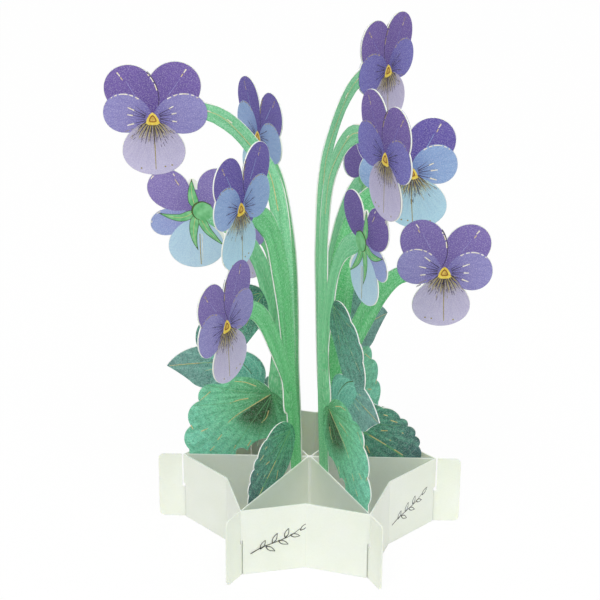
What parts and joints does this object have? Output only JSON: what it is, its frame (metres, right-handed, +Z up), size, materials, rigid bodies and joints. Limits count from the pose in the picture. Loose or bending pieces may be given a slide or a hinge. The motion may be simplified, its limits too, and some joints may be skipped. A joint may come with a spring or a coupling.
{
  "type": "pop-up card",
  "caption": "Pop-up card standing open: a star of slotted white card strips carries upright die-cut plants printed with violas, stems and leaves.",
  "frame": {"origin": "on the table under the centre line where the three upright planes cross", "axes": "+Z up, +X towards the right tab seen from the front, +Y away from the front"},
  "size_m": [0.1282, 0.1101, 0.1739],
  "materials": {
    "white_card": "uncoated white card",
    "printed_card": "printed card with a matt surface"
  },
  "bodies": {
    "root": {"outer_wall": "white_card", "left_right_strip": "white_card", "front_v_strip": "white_card", "rear_v_strip": "white_card", "plant_left": "printed_card", "plant_front_right": "printed_card", "plant_rear_right": "printed_card", "plant_right": "printed_card", "plant_front_left": "printed_card", "plant_rear_left": "printed_card"}
  },
  "joints": []
}
